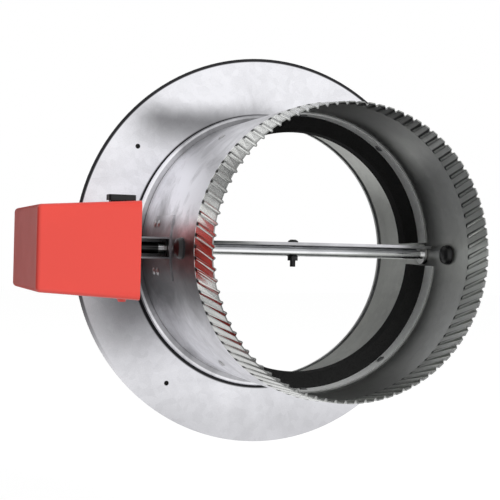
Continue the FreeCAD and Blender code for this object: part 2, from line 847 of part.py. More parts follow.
def blade_nut():
    """The hexagon nut under the shaft."""
    body = new_body("blade_nut")
    base = -(shaft_radius + nut_height)
    sketch = new_sketch(body, "nut_outline", "XY_Plane", base)
    outline(sketch, hex_points(nut_width))
    circle(sketch, 0, 0, bolt_radius + seat_clearance)
    pad(body, sketch, "nut_pad", nut_height)
    place(body, x=-bolt_side_shift, y=-shaft_forward)


# Actuator bracket


def actuator_bracket():
    """A saddle bent to the pipe with a channel, open to the front, that carries the box."""
    body = new_body("actuator_bracket")
    saddle = new_sketch(body, "saddle_section", "XY_Plane")
    back = -(shaft_forward - bracket_depth / 2)
    front = -(shaft_forward + bracket_depth / 2)
    tail = back + bracket_tail
    outline(saddle, [
        (-pipe_radius - bracket_sheet, front),
        (-pipe_radius, front),
        (-pipe_radius, tail),
        (-pipe_radius - bracket_sheet, tail),
    ])
    revolve(body, saddle, "saddle_sweep", "V_Axis", saddle_angle, midplane=True)
    channel = new_sketch(body, "channel_section", "YZ_Plane", -plate_face)
    outer = bracket_height / 2
    inner = outer - bracket_sheet
    web = back - bracket_sheet
    outline(channel, [
        (front, outer),
        (back, outer),
        (back, -outer),
        (front, -outer),
        (front, -inner),
        (web, -inner),
        (web, inner),
        (front, inner),
    ])
    pad(body, channel, "channel_pad", standoff - bracket_sheet / 2)
    opening = new_sketch(body, "saddle_hole", "YZ_Plane", -pipe_radius + cutter_reach)
    circle(opening, -shaft_forward, 0, bushing_collar_radius + seat_clearance)
    pocket(body, opening, "saddle_drill", 4 * bracket_sheet + cutter_reach)
    return body


def drilled_bracket():
    """The bracket with the holes for its rivets."""
    blank = actuator_bracket()
    blank.Label = "bracket_blank"
    made_nodes.remove(blank)
    hole = band_rivet_radius.value + seat_clearance.value
    bracket = doc.addObject("Part::Cut", "mounting_bracket")
    bracket.Label = "actuator_bracket"
    bracket.Base = blank
    bracket.Tool = rivet_drills("bracket_drills", hole, bracket_rivet_places())
    made_nodes.append(bracket)


# Actuator box


def cover_section(body, name, out, height, depth, inset):
    """A rectangular section of the cover at a distance outwards from the open rim."""
    sketch = new_sketch(body, name, "YZ_Plane", -(cover_rim_x + out))
    half_depth = depth / 2 - inset
    half_height = height / 2 - inset
    left = -cover_forward - half_depth
    right = -cover_forward + half_depth
    low = -cover_drop - half_height
    high = -cover_drop + half_height
    outline(sketch, [(left, low), (right, low), (right, high), (left, high)])
    return sketch


def loft(body, name, sections, cut=False):
    kind = "PartDesign::SubtractiveLoft" if cut else "PartDesign::AdditiveLoft"
    feature = body.newObject(kind, name)
    feature.Profile = sections[0]
    feature.Sections = sections[1:]
    feature.Ruled = True
    return feature


def edges_away_from_x(shape, x, reach):
    """Names of the edges that don't lie wholly in a plane of constant X."""
    names = []
    for number, edge in enumerate(shape.Edges, 1):
        box = edge.BoundBox
        if abs(box.XMin - x) > reach or abs(box.XMax - x) > reach:
            names.append("Edge%d" % number)
    return names


def actuator_cover():
    """The moulded cover: a tapered, open box with a rounded outer end and a turned rim."""
    body = new_body("actuator_cover")
    rim = cover_section(body, "cover_rim", Size.of(0), cover_rim_height, cover_rim_depth, Size.of(0))
    end = cover_section(body, "cover_end", cover_length, cover_end_height, cover_end_depth, Size.of(0))
    outside = loft(body, "cover_outside", [rim, end])
    doc.recompute()
    edge = body.newObject("PartDesign::Fillet", "cover_edge_round")
    edge.Base = (outside, edges_away_from_x(outside.Shape, -cover_rim_x.value, 1e-4))
    bind(edge, "Radius", cover_edge)
    inner_rim = cover_section(body, "cavity_rim", Size.of(0), cover_rim_height,
                              cover_rim_depth, cover_wall)
    inner_end = cover_section(body, "cavity_end", cover_length - cover_wall, cover_end_height,
                              cover_end_depth, cover_wall)
    loft(body, "cover_cavity", [inner_rim, inner_end], cut=True)
    drill = new_sketch(body, "cover_screw_holes", "XY_Plane", -cover_drop - cover_rim_height / 2 - 1)
    for side in (-1, 1):
        circle(drill, -screw_x(), -cover_forward + side * cover_screw_spread,
               cover_screw_radius + seat_clearance)
    pocket(body, drill, "cover_screw_drill", cover_wall * 2 + 1, reverse=True)
    entry = new_sketch(body, "cover_entry_hole", "XY_Plane", -cover_drop + cover_rim_height / 2 + 1)
    half = entry_width / 2 - entry_neck
    long_half = entry_length / 2 - entry_neck
    rounded_box(entry, -entry_x() - long_half, -entry_x() + long_half,
                -entry_forward - half, -entry_forward + half, entry_corner - entry_neck)
    pocket(body, entry, "cover_entry_cut", cover_wall * 3 + 1)


def screw_x():
    """Distance of the cover's screws from the pipe's axis, along X."""
    return plate_face + plate_thickness + plate_tab_length / 2


def entry_x():
    """Distance of the cable entry's middle from the pipe's axis, along X."""
    return cover_rim_x + entry_inset + entry_length / 2


def cover_slope():
    """How far the cover's top and bottom draw in for each millimetre outwards."""
    return (cover_rim_height - cover_end_height) / (2 * cover_length)


def cover_half_height(distance):
    """Half the outer height of the cover at a distance from the pipe's axis."""
    return cover_rim_height / 2 - (distance - cover_rim_x) * cover_slope()


def actuator_base_plate():
    """The steel plate that closes the box and carries the drive, with two screw tabs."""
    body = new_body("actuator_base_plate")
    sketch = new_sketch(body, "plate_outline", "YZ_Plane", -plate_face)
    far_side = plate_face + plate_thickness + plate_tab_length
    half_depth = cover_rim_depth / 2 - cover_wall - plate_fit * 2
    half_height = cover_half_height(far_side) - cover_wall - plate_fit
    rounded_box(sketch, -cover_forward - half_depth, -cover_forward + half_depth,
                -cover_drop - half_height, -cover_drop + half_height, plate_corner)
    pad(body, sketch, "plate_pad", plate_thickness, reverse=True)
    tabs = new_sketch(body, "tab_outline", "YZ_Plane", -(plate_face + plate_thickness / 2))
    low = -cover_drop - half_height
    for side in (-1, 1):
        middle = -cover_forward + side * cover_screw_spread
        outline(tabs, [
            (middle - plate_tab_width / 2, low),
            (middle + plate_tab_width / 2, low),
            (middle + plate_tab_width / 2, low + plate_thickness),
            (middle - plate_tab_width / 2, low + plate_thickness),
        ])
    pad(body, tabs, "tab_pad", plate_tab_length + plate_thickness / 2, reverse=True)
    holes = new_sketch(body, "tab_holes", "XY_Plane", low - 1)
    for side in (-1, 1):
        circle(holes, -screw_x(), -cover_forward + side * cover_screw_spread,
               cover_screw_radius + seat_clearance)
    pocket(body, holes, "tab_drill", plate_thickness * 2 + 1, reverse=True)
    passage = new_sketch(body, "shaft_passage", "YZ_Plane", -plate_face + 1)
    circle(passage, -shaft_forward, 0, shaft_radius * 1.5)
    pocket(body, passage, "shaft_passage_drill", plate_thickness * 3 + 1)


def cover_screws():
    """Two pan-head screws from below, through the cover into the plate's tabs."""
    low = -cover_drop.value - cover_half_height(screw_x()).value
    radius = cover_screw_radius.value
    head = cover_screw_head.value
    rise = cover_screw_rise.value
    reach = cover_wall.value + plate_fit.value + 2 * plate_thickness.value + 1.5
    sink = head * cover_slope().value + 0.05
    screws = []
    for side in (-1, 1):
        y = -cover_forward.value + side * cover_screw_spread.value
        base = FreeCAD.Vector(-screw_x().value, y, low - sink)
        shank = Part.makeCylinder(radius, reach + sink, base)
        crown = base - FreeCAD.Vector(0, 0, rise)
        cap = Part.makeCone(head * 0.7, head, rise, crown)
        screws.append(shank.fuse(cap).removeSplitter())
    code_feature("cover_screws", Part.makeCompound(screws))


def cable_bushing():
    """The low snap-in bushing over the cable entry on top of the cover."""
    body = new_body("cable_bushing")
    top = -cover_drop + cover_half_height(entry_x() - entry_length / 2) + seat_clearance
    collar = new_sketch(body, "entry_collar", "XY_Plane", top)
    half = entry_width / 2
    rounded_box(collar, -entry_x() - entry_length / 2, -entry_x() + entry_length / 2,
                -entry_forward - half, -entry_forward + half, entry_corner)
    pad(body, collar, "collar_pad", entry_rise)
    neck = new_sketch(body, "entry_neck", "XY_Plane", top)
    inset = entry_neck + entry_fit
    rounded_box(neck, -entry_x() - entry_length / 2 + inset, -entry_x() + entry_length / 2 - inset,
                -entry_forward - half + inset, -entry_forward + half - inset, entry_corner - inset)
    pad(body, neck, "neck_pad", cover_wall + entry_reach, reverse=True)
    way = new_sketch(body, "entry_way", "XY_Plane", top + entry_rise)
    for side in (-1, 1):
        circle(way, -entry_x() + side * entry_pitch / 2, -entry_forward, entry_bore)
    pocket(body, way, "entry_way_cut")


# Drive train in the box


def switch_cam():
    """The cam disc on the shaft that trips the end switches: two arcs of unlike radius."""
    body = new_body("switch_cam")
    start = plate_face + plate_thickness + 2 * end_gap
    sketch = new_sketch(body, "cam_outline", "YZ_Plane", -start)
    circle(sketch, 0, 0, cam_radius)
    circle(sketch, 0, 0, shaft_radius + seat_clearance)
    pad(body, sketch, "cam_pad", cam_thickness, reverse=True)
    step = new_sketch(body, "cam_step", "YZ_Plane", -start + 1)
    flat = cam_low_radius * 0.9
    outline(step, [(flat, -flat), (cam_radius * 1.2, -flat),
                   (cam_radius * 1.2, flat), (flat, flat)])
    pocket(body, step, "cam_step_cut", cam_thickness * 2 + 1)
    place(body, y=-shaft_forward)


def drive_coupling():
    """The sleeve that joins the damper's shaft to the gearbox; its spigot runs in the gearbox."""
    body = turned("drive_coupling", [
        (-coupling_start, shaft_radius + seat_clearance),
        (-coupling_start, coupling_radius),
        (-coupling_start - coupling_length, coupling_radius),
        (-coupling_start - coupling_length, output_radius),
        (-gearbox_start - gearbox_length / 2, output_radius),
        (-gearbox_start - gearbox_length / 2, Size.of(0)),
        (-coupling_start - coupling_bore_depth - end_gap, Size.of(0)),
        (-coupling_start - coupling_bore_depth - end_gap, shaft_radius + seat_clearance),
    ], y=-shaft_forward)
    hole = new_sketch(body, "set_screw_hole", "XY_Plane", coupling_radius + 1)
    circle(hole, -coupling_start - coupling_bore_depth / 2, 0, set_screw_radius + seat_clearance)
    pocket(body, hole, "set_screw_drill", coupling_radius + 1 - shaft_radius / 2)


def coupling_set_screw():
    """The grub screw that locks the coupling on the shaft."""
    body = new_body("coupling_set_screw")
    sketch = new_sketch(body, "set_screw_outline", "XY_Plane", shaft_radius + seat_clearance)
    circle(sketch, -coupling_start - coupling_bore_depth / 2, 0, set_screw_radius)
    pad(body, sketch, "set_screw_pad", coupling_radius - shaft_radius)
    place(body, y=-shaft_forward)


def gearbox():
    """The gearbox housing: a closed rounded case with a bore for the output spigot."""
    body = new_body("gearbox_housing")
    sketch = new_sketch(body, "gearbox_outline", "YZ_Plane", -gearbox_start)
    rounded_box(sketch, -gearbox_width / 2, gearbox_width / 2,
                -gearbox_height / 2, gearbox_height / 2, gearbox_corner)
    pad(body, sketch, "gearbox_pad", gearbox_length, reverse=True)
    bore = new_sketch(body, "gearbox_bore", "YZ_Plane", -gearbox_start)
    circle(bore, 0, 0, output_radius + shaft_clearance)
    pocket(body, bore, "gearbox_bore_cut", gearbox_length / 2 + end_gap)
    place(body, y=-shaft_forward)


def motor():
    """The motor can on the outer face of the gearbox, with its raised bearing boss."""
    start = -(gearbox_start + gearbox_length)
    end = start - motor_length
    turned("drive_motor", [
        (start, Size.of(0)),
        (start, motor_radius),
        (end + motor_edge, motor_radius),
        (end, motor_radius - motor_edge),
        (end, motor_boss_radius),
        (end - motor_boss_rise, motor_boss_radius),
        (end - motor_boss_rise, Size.of(0)),
    ], y=-shaft_forward)


def gearbox_posts():
    """Four posts that carry the gearbox on the base plate."""
    start = plate_face + plate_thickness
    posts = []
    for across in (-1, 1):
        for up in (-1, 1):
            y = -shaft_forward.value + across * (gearbox_width.value / 2 - post_inset.value)
            z = up * (gearbox_height.value / 2 - post_inset.value)
            length = (gearbox_start - start).value
            base = FreeCAD.Vector(-gearbox_start.value, y, z)
            posts.append(Part.makeCylinder(post_radius.value, length, base, FreeCAD.Vector(1, 0, 0)))
    code_feature("gearbox_posts", Part.makeCompound(posts))


def end_switch(name, side):
    """One end switch beside the cam, above or below the shaft, with its button."""
    body = new_body(name)
    sketch = new_sketch(body, name + "_outline", "YZ_Plane", -(plate_face + plate_thickness))
    near = cam_radius + switch_gap + button_rise
    low, high = (near, near + switch_height) if side > 0 else (-near - switch_height, -near)
    rounded_box(sketch, -switch_length / 2 - switch_shift, switch_length / 2 - switch_shift,
                low, high, switch_corner)
    pad(body, sketch, name + "_pad", switch_width, reverse=True)
    button = new_sketch(body, name + "_button", "YZ_Plane",
                        -(plate_face + plate_thickness + button_inset))
    tip = cam_radius + switch_gap
    root = near + button_inset
    half = button_width / 2
    low, high = (tip, root) if side > 0 else (-root, -tip)
    outline(button, [(-half, low), (half, low), (half, high), (-half, high)])
    pad(body, button, name + "_button_pad", cam_thickness - button_inset, reverse=True)
    place(body, y=-shaft_forward)


def terminal_block():
    """The wiring block on the plate, with a row of slots along its outer face."""
    body = new_body("terminal_block")
    middle = -cover_forward - cover_rim_depth * 0.32
    sketch = new_sketch(body, "terminal_outline", "YZ_Plane", -(plate_face + plate_thickness))
    low = -cover_drop - terminal_width / 2
    outline(sketch, [
        (middle - terminal_height / 2, low),
        (middle + terminal_height / 2, low),
        (middle + terminal_height / 2, low + terminal_width),
        (middle - terminal_height / 2, low + terminal_width),
    ])
    pad(body, sketch, "terminal_pad", terminal_length, reverse=True)
    slots = new_sketch(body, "terminal_slots", "YZ_Plane",
                       -(plate_face + plate_thickness + terminal_length))
    slot_pitch = terminal_width / 4
    for number in range(4):
        base = low + slot_pitch * number + (slot_pitch - terminal_slot) / 2
        outline(slots, [
            (middle - terminal_height * 0.32, base),
            (middle + terminal_height * 0.32, base),
            (middle + terminal_height * 0.32, base + terminal_slot),
            (middle - terminal_height * 0.32, base + terminal_slot),
        ])
    pocket(body, slots, "terminal_slot_cut", terminal_length * 0.6, reverse=True)


def build():
    duct_pipe()
    mounting_flange()
    gaskets_and_bands()
    rivet_group("band_rivets", rivet_angles(), band_thickness.value, 0)
    rivet_group("bracket_rivets", bracket_rivet_places(), 0, bracket_sheet.value)
    bushing("far_side_bushing", 1)
    bushing("drive_side_bushing", -1)
    hole_plug("right_hole_plug", 1, inside=True)
    hole_plug("left_hole_plug", -1, inside=False)
    damper_shaft()
    shaft_clip()
    damper_blade()
    blade_bolt()
    blade_nut()
    drilled_bracket()
    actuator_base_plate()
    actuator_cover()
    cover_screws()
    cable_bushing()
    switch_cam()
    drive_coupling()
    coupling_set_screw()
    gearbox()
    motor()
    gearbox_posts()
    end_switch("upper_end_switch", 1)
    end_switch("lower_end_switch", -1)
    terminal_block()
    doc.recompute()


def check_and_write():
    """Stop on any failed object or bad shape, then write one file for each piece."""
    for item in doc.Objects:
        if "Invalid" in item.State or "Error" in item.State:
            raise RuntimeError("failed object: %s %s" % (item.Name, item.State))
    os.makedirs("parts", exist_ok=True)
    for node in made_nodes:
        shape = node.Shape
        if shape.isNull() or not shape.isValid() or not shape.Solids:
            raise RuntimeError("bad shape: " + node.Label)
        print(node.Label, len(shape.Solids), round(shape.Volume, 1))
        shape.exportStep("parts/%s.step" % node.Label)


build()
check_and_write()
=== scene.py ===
import math

import bmesh
import bpy
from bpy.props import FloatProperty, FloatVectorProperty, PointerProperty
from mathutils import Matrix, Vector


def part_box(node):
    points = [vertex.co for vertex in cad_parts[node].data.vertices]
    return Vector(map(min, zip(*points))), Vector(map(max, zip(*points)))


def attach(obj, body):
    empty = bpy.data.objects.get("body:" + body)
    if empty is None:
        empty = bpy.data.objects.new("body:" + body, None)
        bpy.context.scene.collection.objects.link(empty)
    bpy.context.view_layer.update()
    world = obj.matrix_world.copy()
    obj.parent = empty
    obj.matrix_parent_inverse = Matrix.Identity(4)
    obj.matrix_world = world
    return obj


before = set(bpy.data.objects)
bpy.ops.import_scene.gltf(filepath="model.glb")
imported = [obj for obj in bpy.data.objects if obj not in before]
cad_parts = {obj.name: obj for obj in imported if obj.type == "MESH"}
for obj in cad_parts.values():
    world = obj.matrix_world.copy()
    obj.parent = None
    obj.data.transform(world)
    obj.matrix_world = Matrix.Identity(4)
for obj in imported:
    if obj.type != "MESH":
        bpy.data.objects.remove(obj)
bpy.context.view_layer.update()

bl_info = {
    "name": "Zone Damper Dresser",
    "version": (1, 0, 0),
    "blender": (4, 5, 0),
    "location": "3D View > Sidebar > Zone Damper",
    "description": "Finishes, small formed pieces and studio for a motorized zone damper",
    "category": "Object",
}

HOUSING = "housing"
PIPE_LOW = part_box("duct_pipe")[0]
COVER_LOW, COVER_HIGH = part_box("actuator_cover")
FLANGE_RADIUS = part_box("mounting_flange")[1].x
PIPE_LENGTH = -PIPE_LOW.y
CRIMP_LENGTH = 0.030
CRIMP_START = PIPE_LENGTH - CRIMP_LENGTH
CRIMP_COUNT = 86
# Crimps that one crimp's slant passes, and the place of the groove within a crimp
CRIMP_SLANT = 1.0033
GROOVE_PLACE = 0.79
FLOOR_SIZE = 12.0
FLOOR_GLOW = 1.5
FLOOR_WHITE_SHARE = 0.6
STUDIO_AIM = (0, -0.08, 0)
# Light that reaches the camera straight, off metal and through glass
SEEN_RAYS = ("Is Camera Ray", "Is Glossy Ray", "Is Transmission Ray")

# Painted reflections and shade round the outside of the pipe, as tones from its right side over below, left
# and above back to the right
OUTER_REFLECTION_TONES = [(0.0, 0.6), (0.25, 0.8), (0.36, 0.78), (0.41, 0.62), (0.445, 0.22), (0.48, 0.16),
               (0.51, 0.28), (0.545, 0.95), (0.6, 1.0), (0.65, 0.52), (0.75, 0.42), (1.0, 0.6)]
# Painted shade and light on the crimps round the outside, as tones in the same order as those of the pipe
CRIMP_ROUND_SHADE_TONES = [(0.0, 0.9), (0.3, 0.78), (0.38, 0.52), (0.44, 0.54), (0.465, 0.95), (0.53, 1.0),
                     (0.555, 0.74), (0.62, 1.0), (1.0, 1.0)]
# Painted shade and reflections along the inside of the pipe, as tones from the flange to the crimped rim
INNER_SHADE_TONES = [(0.0, 1.0), (0.36, 0.9), (0.48, 0.1), (0.56, 0.2), (0.66, 0.52), (0.82, 0.68),
               (0.84, 0.72), (1.0, 0.95)]
# Painted shade across one crimp: its ridge, a flank, the groove and the other flank
CRIMP_SHADE_TONES = [(0.0, 0.35), (0.12, 1.0), (0.44, 1.0), (0.58, 0.35), (0.72, 0.7), (0.79, 0.95),
               (0.85, 0.3), (0.94, 0.08), (1.0, 0.35)]

# Places of the marks in metres. Of two places, a mark begins at the first and is full at the second, and of
# four places it also fades out between the last two.

# Along the pipe, in front of the flange's back: lip, bead, bands, crimps and rim
LIP_END = (0.0036, 0.0044)
# Painted shade inside the bead's groove
BEAD_GROOVE_SHADE = (0.0040, 0.0048, 0.0072, 0.0082)
# Painted shadow along the bead's foot, in the gap against the flange
BEAD_FOOT_SHADOW = (0.0066, 0.0070, 0.0078, 0.0086)
BAND_FRONT = (0.070, 0.090)
CRIMP_EDGE = (CRIMP_START - 0.0004, CRIMP_START + 0.0004)
# Painted shadow where each crimp's groove starts
GROOVE_SHADOW_PLACE = CRIMP_START + 0.0012
GROOVE_SHADOW_REACH = (0.0009, 0.0022)
# Painted shade on the crimps' front ends outside, and a darker painted edge along the rim
RIM_SHADE_BAND = (PIPE_LENGTH - 0.006, PIPE_LENGTH - 0.002)
RIM_EDGE = (PIPE_LENGTH - 0.0007, PIPE_LENGTH - 0.0001)
# Outside the pipe's left side, where the shaft turns near black
DARK_BAR_EDGE = (PIPE_LOW.x - 0.0016, PIPE_LOW.x - 0.0004)
# On the flange: painted shade round the pipe and along its upper rim, a painted dark reflection band, and
# painted shade beside the box
# Painted shade in the gap round the pipe's bead
CONTACT_SHADE_RADIUS = 0.1082
CONTACT_SHADE_LEAN = 0.008
CONTACT_SHADE_FADE = (0.0002, 0.0016)
# Painted shade along the flange's rim, on its upper part only
UPPER_RIM_SHADE = (FLANGE_RADIUS - 0.0030, FLANGE_RADIUS - 0.0020)
UPPER_RIM_SHADE_RISE = (-0.1, -0.02)
REFLECTION_LEFT_FADE = 0.04
REFLECTION_RIGHT_LIMIT = 0.03
REFLECTION_HEIGHTS = (-0.034, -0.002, -0.004, 0.018)
REFLECTION_STRAY = 0.02
BOX_SHADE_PLACE = (COVER_HIGH.x + 0.022, COVER_LOW.z - 0.006)
BOX_SHADE_REACH = 0.066
BOX_SHADE_ACROSS = (-0.3, -0.04)
# The flange's tone at its foot, and what it gains between two heights, painted light that brightens it
# towards the top
FLANGE_TONE = 0.64
FLANGE_PAINTED_LIGHT_GAINS = [((-0.145, -0.09), 0.18), ((-0.09, 0.05), 0.14)]

# Depth of each finish's relief in metres
ZINC_RELIEF = 0.00006
BAND_RELIEF = 0.00004
FOAM_RELIEF = 0.00012
BAR_RELIEF = 0.00003
FASTENER_RELIEF = 0.00004
MOULDED_RELIEF = 0.00005

# Distance from the axis measured along the surface's direction: positive outside the pipe, negative inside
OUTER_SIDE = (-0.006, -0.001)
# Shares of the inner wall's height for the painted shade on its roof and ground, and of a crimp's width from
# its groove
ROOF_SHADE = (0.68, 0.95)
GROUND_SHADE = (0.75, 0.97)
GROOVE_REACH = (0.1, 0.2)

# Pieces, name of their finish, colour and roughness
SHAFT_METALS = [
    (["shaft_clip"], "spring_steel", (0.6, 0.6, 0.6), 0.3),
    (["band_rivets", "bracket_rivets"], "dull_rivets", (0.42, 0.42, 0.43), 0.4),
    (["far_side_bushing"], "bushing_metal", (0.86, 0.86, 0.84), 0.32),
    (["coupling_set_screw", "gearbox_posts"], "zinc_fastener", (0.5, 0.5, 0.5), 0.3),
    (["blade_bolt", "blade_nut"], "blackened_fastener", (0.05, 0.05, 0.052), 0.35),
]
DRIVE_METALS = [
    (["drive_motor"], "motor_can", (0.6, 0.61, 0.62), 0.3),
    (["drive_coupling"], "turned_brass", (0.78, 0.56, 0.26), 0.25),
]
DRIVE_MOULDINGS = [
    (["gearbox_housing", "terminal_block"], "grey_moulding", (0.16, 0.165, 0.17), 0.45),
    (["switch_cam"], "white_moulding", (0.6, 0.6, 0.57), 0.4),
]
RED_PIECES = ["actuator_cover", "actuator_base_plate", "cover_screws"]
BLACK_PIECES = ["left_hole_plug", "right_hole_plug", "cable_bushing", "drive_side_bushing",
                "upper_end_switch", "lower_end_switch"]


# Shader maths


class Wire:
    """A value socket that takes part in sums, so that shader maths reads as Python."""

    def __init__(self, nodes, socket):
        self.nodes = nodes
        self.socket = socket

    def _joined(self, operation, *values):
        return self.nodes.add("ShaderNodeMath", {"operation": operation}, *values)

    def __add__(self, other):
        return self._joined("ADD", self, other)

    def __radd__(self, other):
        return self._joined("ADD", other, self)

    def __sub__(self, other):
        return self._joined("SUBTRACT", self, other)

    def __rsub__(self, other):
        return self._joined("SUBTRACT", other, self)

    def __mul__(self, other):
        return self._joined("MULTIPLY", self, other)

    def __rmul__(self, other):
        return self._joined("MULTIPLY", other, self)

    def __truediv__(self, other):
        return self._joined("DIVIDE", self, other)

    def __rtruediv__(self, other):
        return self._joined("DIVIDE", other, self)

    def __pow__(self, other):
        return self._joined("POWER", self, other)

    def __rpow__(self, other):
        return self._joined("POWER", other, self)

    def __abs__(self):
        return self._joined("ABSOLUTE", self)

    def __neg__(self):
        return self._joined("MULTIPLY", self, -1.0)

    def greatest(self, other):
        return self._joined("MAXIMUM", self, other)

    def angle_to(self, other):
        return self._joined("ARCTAN2", self, other)

    def wrapped(self):
        """The part after the point, so that a rising value starts again at each whole number."""
        return self._joined("FRACT", self)

    def wrapped_distance(self):
        """Distance to the nearest whole number."""
        return abs((self + 0.5).wrapped() - 0.5)

    def between(self, low, high):
        """0 below low, 1 above high, smooth between them."""
        settings = {"interpolation_type": "SMOOTHSTEP"}
        return self.nodes.add("ShaderNodeMapRange", settings, self, low, high, 0.0, 1.0)

    def within(self, places):
        """0 outside the first and the last of four places, 1 between the two in the middle."""
        start, full, fade, end = places
        return self.between(start, full) * (1 - self.between(fade, end))


class Nodes:
    """A shader's node tree, with the one method that adds nodes to it."""

    def __init__(self, tree):
        self.tree = tree

    def add(self, kind, settings=None, *values, out=0, **named):
        """Add a node: settings first, then socket values or links in order or by name."""
        node = self.tree.nodes.new(kind)
        for name, value in (settings or {}).items():
            if name == "stops":
                self._set_stops(node.color_ramp, value)
            else:
                setattr(node, name, value)
        for index, value in enumerate(values):
            self.feed(node.inputs[index], value)
        for name, value in named.items():
            self.feed(node.inputs[name.replace("_", " ")], value)
        return Wire(self, node.outputs[out])

    def feed(self, socket, value):
        """Link a wire to a socket or set the socket's value, and for None leave it as it is."""
        if isinstance(value, Wire):
            self.tree.links.new(value.socket, socket)
        elif value is not None:
            socket.default_value = value

    @staticmethod
    def _set_stops(ramp, stops):
        while len(ramp.elements) < len(stops):
            ramp.elements.new(1.0)
        for element, (place, colour) in zip(ramp.elements, stops):
            element.position = place
            element.color = (*colour, 1.0)

    def seen_share(self):
        """1 for what the camera sees straight, in reflections and through glass, 0 for stray light."""
        straight, mirrored, through = [self.add("ShaderNodeLightPath", None, out=ray) for ray in SEEN_RAYS]
        return straight.greatest(mirrored).greatest(through)


class Finish(Nodes):
    """One material: its nodes and its shader."""

    def __init__(self, name, **shader_values):
        self.material = bpy.data.materials.new(name)
        self.material.use_nodes = True
        super().__init__(self.material.node_tree)
        self.shader = self.tree.nodes["Principled BSDF"]
        self.drive(**shader_values)

    def place(self):
        """The point's place in the object's frame, in metres."""
        return self.add("ShaderNodeTexCoord", None, out="Object")

    def facing(self):
        """The surface's own direction in the object's frame."""
        return self.add("ShaderNodeTexCoord", None, out="Normal")

    def level(self, value, stops):
        """A level read off (place, level) stops, for places from 0 to 1."""
        grey = [(place, (tone, tone, tone)) for place, tone in stops]
        return self.split(self.add("ShaderNodeValToRGB", {"stops": grey}, value))[0]

    def split(self, vector):
        """The three values of a vector or colour."""
        node = self.add("ShaderNodeSeparateXYZ", None, vector).socket.node
        return [Wire(self, socket) for socket in node.outputs]

    def join(self, x, y, z):
        """A vector from three values."""
        return self.add("ShaderNodeCombineXYZ", None, x, y, z)

    def noise(self, where, scale, detail=3.0, roughness=0.5, distortion=0.0):
        """Soft clouds from 0 to 1, scale of them to the metre."""
        return self.add("ShaderNodeTexNoise", None, Vector=where, Scale=scale, Detail=detail,
                        Roughness=roughness, Distortion=distortion)

    def streaks(self, where, scales, detail=3.0):
        """Fine lines: clouds with a scale of their own along each axis."""
        stretched = self.join(*[value * scale for value, scale in zip(self.split(where), scales)])
        return self.noise(stretched, 1.0, detail, roughness=0.6)

    def cells(self, where, scale, out):
        """Crystals or pores, scale of them to the metre: their Color, or the Distance from a middle."""
        return self.add("ShaderNodeTexVoronoi", None, Vector=where, Scale=scale, out=out)

    def blend(self, share, first, second):
        """A colour from first at share 0 to second at share 1."""
        # Five sockets for other kinds of mix stand between the share and the colours
        other_kinds = [None] * 5
        return self.add("ShaderNodeMix", {"data_type": "RGBA"}, share, *other_kinds, first, second, out=2)

    def shades(self, share, colour, first, second):
        """A colour times first at share 0, and times second at share 1."""
        return self.blend(share, rgba(colour, first), rgba(colour, second))

    def bump(self, height, distance):
        """The surface's direction over relief of a height in metres."""
        return self.add("ShaderNodeBump", None, Height=height, Distance=distance)

    def drive(self, **sockets):
        """Set or link sockets of the shader itself, and return the material."""
        for name, value in sockets.items():
            self.feed(self.shader.inputs[name.replace("_", " ")], value)
        return self.material


def rgba(colour, factor=1.0):
    """A colour times a factor, with full cover."""
    return (colour[0] * factor, colour[1] * factor, colour[2] * factor, 1.0)


def darker(tone, mark, depth):
    """A tone that a mark makes darker by a depth, each from 0 to 1."""
    return tone * (1 - mark * depth)


def dress(names, material):
    """Give CAD nodes a material in place of their own."""
    for name in names:
        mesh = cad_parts[name].data
        mesh.materials.clear()
        mesh.materials.append(material)


def dress_rows(rows, make_material):
    """Dress the pieces of each row in the material made from its name, colour and roughness."""
    for names, finish_name, colour, rough in rows:
        dress(names, make_material(finish_name, colour, rough))


# Finishes


class ZincSheet(Finish):
    """Galvanised sheet: its clouds, spangle and rolling lines, and the tone at each place."""

    def __init__(self, name, settings):
        super().__init__(name, Metallic=1.0, IOR=1.6)
        self.settings = settings
        self.where = self.place()
        self.x, self.y, self.z = self.split(self.where)
        self.reach = (self.x * self.x + self.z * self.z) ** 0.5
        self.clouds = self.noise(self.where, settings.cloud_scale, detail=5.0, roughness=0.6, distortion=0.7)
        self.drift = self.clouds - 0.5
        self.grain = self.noise(self.where, 1100.0, detail=2.0, roughness=0.7)
        self.rolled = self.streaks(self.where, (8.0, 700.0, 8.0), detail=2.0)
        self.spangle = self.split(self.cells(self.where, settings.spangle_scale, "Color"))[0]

    def near(self, centre, reach):
        """1 at a place (x, z) in the sheet, fading to 0 at a distance from it."""
        across = self.x - centre[0]
        up = self.z - centre[1]
        return 1 - ((across * across + up * up) ** 0.5).between(0.0, reach)

    def done(self, tone, warm=0.0, polish=0.0):
        """The finished material for a tone from 0, dark, to 1, bright.

        Warm shifts it to a greenish grey, and polish makes it smoother, both from 0 to 1.
        """
        mottle = 0.97 + self.drift * 0.5 + (self.spangle - 0.5) * 0.07 + (self.grain - 0.5) * 0.22
        light = self.blend(warm, rgba(self.settings.zinc_light), rgba(self.settings.zinc_warm))
        colour = self.blend(tone * mottle, rgba(self.settings.zinc_dark), light)
        rough = (0.2 + (1 - self.clouds) * 0.16 + self.grain * 0.1) * (1 - polish * 0.3)
        height = self.rolled * 0.4 + self.grain * 0.4 + self.clouds * 0.5
        return self.drive(Base_Color=colour, Roughness=rough, Normal=self.bump(height, ZINC_RELIEF))


def blade_zinc(settings):
    """The blade: galvanised sheet of one even tone."""
    sheet = ZincSheet("blade_zinc", settings)
    return sheet.done(sheet.clouds.between(0.2, 0.8) * 0.2 + 0.5)


